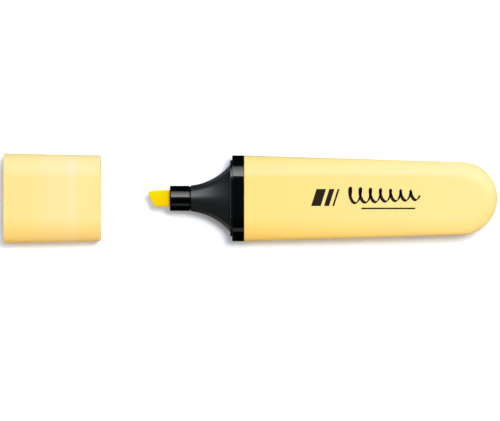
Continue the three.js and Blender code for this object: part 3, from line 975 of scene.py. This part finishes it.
AMBIENT = 0.52
SKY_LEVEL = (1.35, 1.35, 1.35)  # on the horizon, in line with the pen
SKY_CHANGE = {"Y": (-0.25, -0.03, 1.25), "Z": (-0.5, -0.5, -0.5)}  # towards +Y and towards the zenith
SUNS = (  # name, direction, share of the light on an upward face, angular size in degrees, colour
    ("key", (0.17, 0.165, 1), 0.68, 14, (1, 1, 1)),
    ("fill", (0.1, 0.75, 1), 0.15, 50, (1, 1, 1)),
    ("cool_card", (0, 1, 0.22), 0.024, 25, (0, 0.75, 0.8)),
    ("warm_card", (0, -1, 0.12), 0.012, 20, (1, 0.12, 0)),
)
PANELS = (  # name, degrees off the vertical along X and along Y, brightness, height in metres
    ("softbox_0", (-8, 65), (12.5, 21), 6.6, 1.0),
    ("softbox_1", (-8, 65), (21, 31), 5.9, 1.0),
    ("softbox_2", (-8, 65), (31, 41), 4.9, 1.0),
    ("softbox_3", (-8, 65), (41, 51), 3.6, 1.0),
    ("softbox_4", (-8, 65), (51, 61), 2.5, 1.0),
    ("strip", (-5, 65), (-70, -51), 0.65, 1.0),
    ("window_0", (-11, -3), (2, 22), 2.2, 1.0),
    ("window_1", (-14, -3), (22, 40), 3.9, 1.0),
    ("window_2", (-24, -3), (40, 55), 4.2, 1.0),
    ("window_3", (-36, -3), (55, 67), 4.0, 1.0),
    ("table_glow", (-80, -30), (-75, 75), 0.5, -0.6),
)


def studio_floor():
    """A pale matt floor that the glossy pieces don't mirror, with a painted tint and a faint painted glow."""
    half, level = FLOOR_HALF * MM, FLOOR_LEVEL * MM
    corners = [(-half, -half, level), (half, -half, level), (half, half, level), (-half, half, level)]
    mesh = bpy.data.meshes.new("floor")
    mesh.from_pydata(corners, [], [(0, 1, 2, 3)])
    paint = Paint("studio_white")
    paint.shade(
        # painted tint against the light's colours, and a painted glow: the floor gives off faint blue light
        # near the pen
        Base_Color=paint.ramp("Y", FLOOR_LIGHT_BALANCING_TINT),
        Emission_Color=paint.ramp("Y", FLOOR_PAINTED_GLOW),
        Emission_Strength=1.0,
        Roughness=0.9,
        Specular_IOR_Level=0.0,
    )
    mesh.materials.append(paint.material)
    floor = bpy.data.objects.new("floor", mesh)
    floor.visible_glossy = False
    bpy.context.scene.collection.objects.link(floor)


def sky():
    """Soft light from all around, which only matt surfaces show."""
    world = bpy.data.worlds.new("studio")
    bpy.context.scene.world = world
    world.use_nodes = True
    world.cycles_visibility.glossy = False
    nodes, links = world.node_tree.nodes, world.node_tree.links
    coords = nodes.new("ShaderNodeTexCoord")
    split = nodes.new("ShaderNodeSeparateXYZ")
    links.new(coords.outputs["Generated"], split.inputs[0])
    colour = SKY_LEVEL
    for axis, tint in SKY_CHANGE.items():
        term = nodes.new("ShaderNodeVectorMath")
        term.operation = "MULTIPLY_ADD"
        for socket, value in zip(term.inputs, (split.outputs[axis], tint, colour)):
            feed(links, socket, value)
        colour = term.outputs[0]
    background = nodes["Background"]
    background.inputs["Strength"].default_value = AMBIENT
    links.new(colour, background.inputs["Color"])


def sun(name, towards, share, size, colour):
    """A distant soft light that lends its share of light to an upward face and leaves no glint."""
    towards = Vector(towards)
    light = bpy.data.lights.new(name, "SUN")
    light.energy = share * pi / towards.normalized().z
    light.angle = radians(size)
    light.color = colour
    lamp = bpy.data.objects.new(name, light)
    lamp.rotation_euler = towards.to_track_quat("Z", "Y").to_euler()
    lamp.visible_glossy = False
    bpy.context.scene.collection.objects.link(lamp)


def panel(name, along, across, radiance, height):
    """A level light that only gloss shows. One below the floor stands for the floor's own gleam."""
    x0, x1 = (tan(radians(angle)) * abs(height) for angle in along)
    y0, y1 = (tan(radians(angle)) * abs(height) for angle in across)
    light = bpy.data.lights.new(name, "AREA")
    light.shape = "RECTANGLE"
    light.size = x1 - x0
    light.size_y = y1 - y0
    light.energy = radiance * light.size * light.size_y * pi
    lamp = bpy.data.objects.new(name, light)
    lamp.location = ((x0 + x1) / 2, (y0 + y1) / 2, height)
    lamp.rotation_euler.x = 0 if height > 0 else pi
    lamp.visible_diffuse = False
    lamp.visible_camera = False
    bpy.context.scene.collection.objects.link(lamp)


def camera():
    """A long lens that looks straight down, on a place a little to the pen's -Y side."""
    view_width = 156.25  # how much of the table it takes in, at the height of the pen's axis
    middle = (-0.09, -3.8)
    distance = 3000
    lens = bpy.data.cameras.new("camera")
    lens.sensor_width = 36
    lens.lens = lens.sensor_width * distance / view_width
    lens.clip_end = 10  # metres, well below the floor
    rig = bpy.data.objects.new("camera", lens)
    rig.location = Vector((*middle, HALF_T + distance)) * MM
    bpy.context.scene.collection.objects.link(rig)
    bpy.context.scene.camera = rig
    bpy.context.scene.view_settings.view_transform = "Standard"


# ---------------------------------------------------------------- the scene
BARREL_COLOURS = [
    (PEN + BARREL_FRONT, srgb(236, 203, 118)),
    (PEN + TAIL_CENTRE, srgb(236, 208, 136)),
]
CAP_COLOURS = [
    (CAP - CAP_LENGTH, srgb(236, 203, 125)),
    (CAP - 22, srgb(236, 204, 128)),
    (CAP - 15.5, srgb(236, 206, 138)),
    (CAP - 11.5, srgb(236, 206, 139)),
    (CAP - 9.8, srgb(236, 208, 146)),
    (CAP - 7.8, srgb(236, 207, 143)),
    (CAP - 6.2, srgb(236, 206, 134)),
    (CAP, srgb(236, 206, 131)),
]

camera()
studio_floor()
sky()
for settings in SUNS:
    sun(*settings)
for settings in PANELS:
    panel(*settings)

barrel(satin_plastic("barrel_yellow", BARREL_COLOURS, roughness=(0.21, 0.27)))
printing(print_ink("ink_black"))
front_section(gloss_black(
    "front_black",
    start=PEN + COLLAR["front"],
    satin_from=PEN + NECK_END,
    satin_to=PEN - LIP["length"] / 2,
    end=PEN + RING_LENGTH,
))
nib(ink_fibre(
    "nib_yellow",
    middle=srgb(228, 194, 1),
    # the greener yellow towards +Y is painted light, where the nib faces the lamps
    edge=srgb(219, 205, 2),
    lit_side_span=(0, NIB["half_y"] - 0.8),
    base=srgb(224, 180, 1),
    base_span=(PEN + NIB_TIP + 2, PEN + COLLAR["front"] + 1),
))
cap_shell(satin_plastic("cap_yellow", CAP_COLOURS, roughness=(0.38, 0.44)))
inner_cap(plain_polymer("seal_white", srgb(240, 236, 220), roughness=0.4))

HIDDEN_MATERIALS = {
    "reservoir_core": ink_fibre(
        "core_yellow",
        middle=srgb(240, 226, 40),
        # the paler yellow towards +Y is painted light, like the nib's
        edge=srgb(246, 232, 60),
        lit_side_span=(0, 4),
        base=srgb(232, 214, 30),
        base_span=(0, 60),
    ),
    "reservoir_wrap": plain_polymer("film_clear", srgb(235, 240, 240), roughness=0.15, alpha=0.35),
    "breather_tube": plain_polymer("breather_white", srgb(244, 245, 240), roughness=0.35),
}
for node, material in HIDDEN_MATERIALS.items():
    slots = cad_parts[node].data.materials
    slots.clear()
    slots.append(material)
